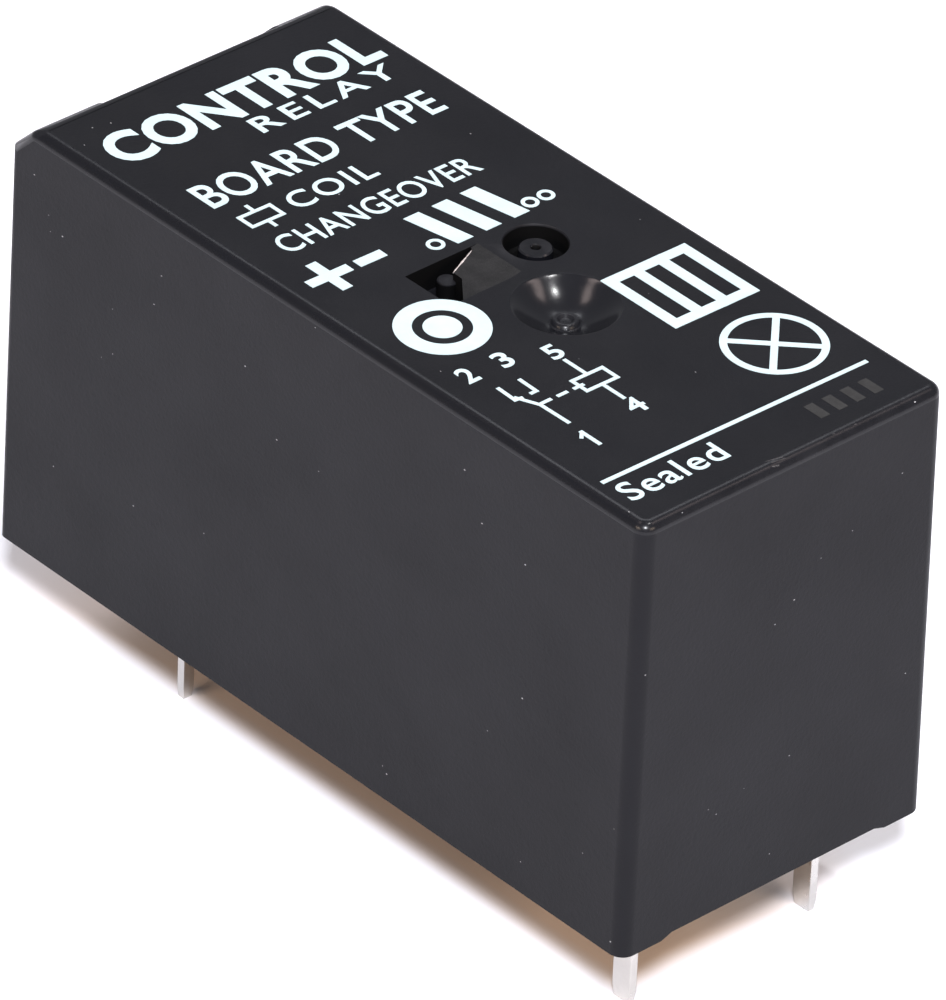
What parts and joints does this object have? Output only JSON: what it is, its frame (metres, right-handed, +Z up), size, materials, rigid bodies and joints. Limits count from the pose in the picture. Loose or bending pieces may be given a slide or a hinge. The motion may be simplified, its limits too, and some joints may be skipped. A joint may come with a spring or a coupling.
{
  "type": "industrial control relay",
  "caption": "Low-profile board-mount control relay: black sealed case on solder pins, with a coil, hinged armature, actuator card and changeover contact inside.",
  "frame": {"origin": "centre of the overall box in X and Y, on the plane that the pin tips stand on", "axes": "+X along the case towards the end with the coil pins, +Y across it, +Z up from the pin tips to the marked top"},
  "size_m": [0.029, 0.0126, 0.0194],
  "materials": {
    "case_plastic": "fine matt moulding, black",
    "base_plastic": "matt moulding, black",
    "resin": "cast sealing resin, dark and glossy",
    "bobbin_plastic": "natural glass-filled moulding",
    "card_plastic": "white moulding",
    "copper_wire": null,
    "enamelled_wire": null,
    "tape": "amber insulating film",
    "plated_iron": "soft iron, dull nickel plating",
    "tinned_copper": null,
    "spring_bronze": "rolled copper-alloy spring strip",
    "contact_silver": null
  },
  "bodies": {
    "housing": {"cover": "case_plastic", "base": "base_plastic", "sealing_resin": "resin", "bobbin": "bobbin_plastic", "coil_winding": "copper_wire", "coil_tape": "tape", "core": "plated_iron", "yoke": "plated_iron", "coil_a_terminal": "tinned_copper", "coil_b_terminal": "tinned_copper", "coil_a_lead": "enamelled_wire", "coil_b_lead": "enamelled_wire", "armature_clip": "spring_bronze", "barrier": "bobbin_plastic", "common_terminal": "tinned_copper", "blade_foot": "spring_bronze", "blade_rivet_1": "tinned_copper", "blade_rivet_2": "tinned_copper", "closed_terminal": "tinned_copper", "closed_contact": "contact_silver", "open_terminal": "tinned_copper", "open_contact": "contact_silver"},
    "armature": {"armature": "plated_iron"},
    "card": {"actuator_card": "card_plastic"},
    "blade": {"contact_blade": "spring_bronze", "moving_contact": "contact_silver"}
  },
  "joints": [
    {"name": "armature_hinge", "type": "hinge", "parent": "housing", "child": "armature", "pos_m": [-0.001, 0, 0.00585], "axis": [0, 1, 0], "range_deg": [0, 4], "stiffness_Nm_per_rad": 0.02, "springref_deg": -2.86},
    {"name": "card_slide", "type": "slide", "parent": "housing", "child": "card", "axis": [1, 0, 0], "range_m": [0, 0.00077]},
    {"name": "blade_swing", "type": "hinge", "parent": "housing", "child": "blade", "pos_m": [-0.00855, 0, 0.0074], "axis": [0, 1, 0], "range_deg": [0, 4.66]}
  ],
  "couplings": [
    {"joint": "card_slide", "follows": "armature_hinge", "m_per_rad": 0.011},
    {"joint": "blade_swing", "follows": "armature_hinge", "ratio": 1.164}
  ]
}
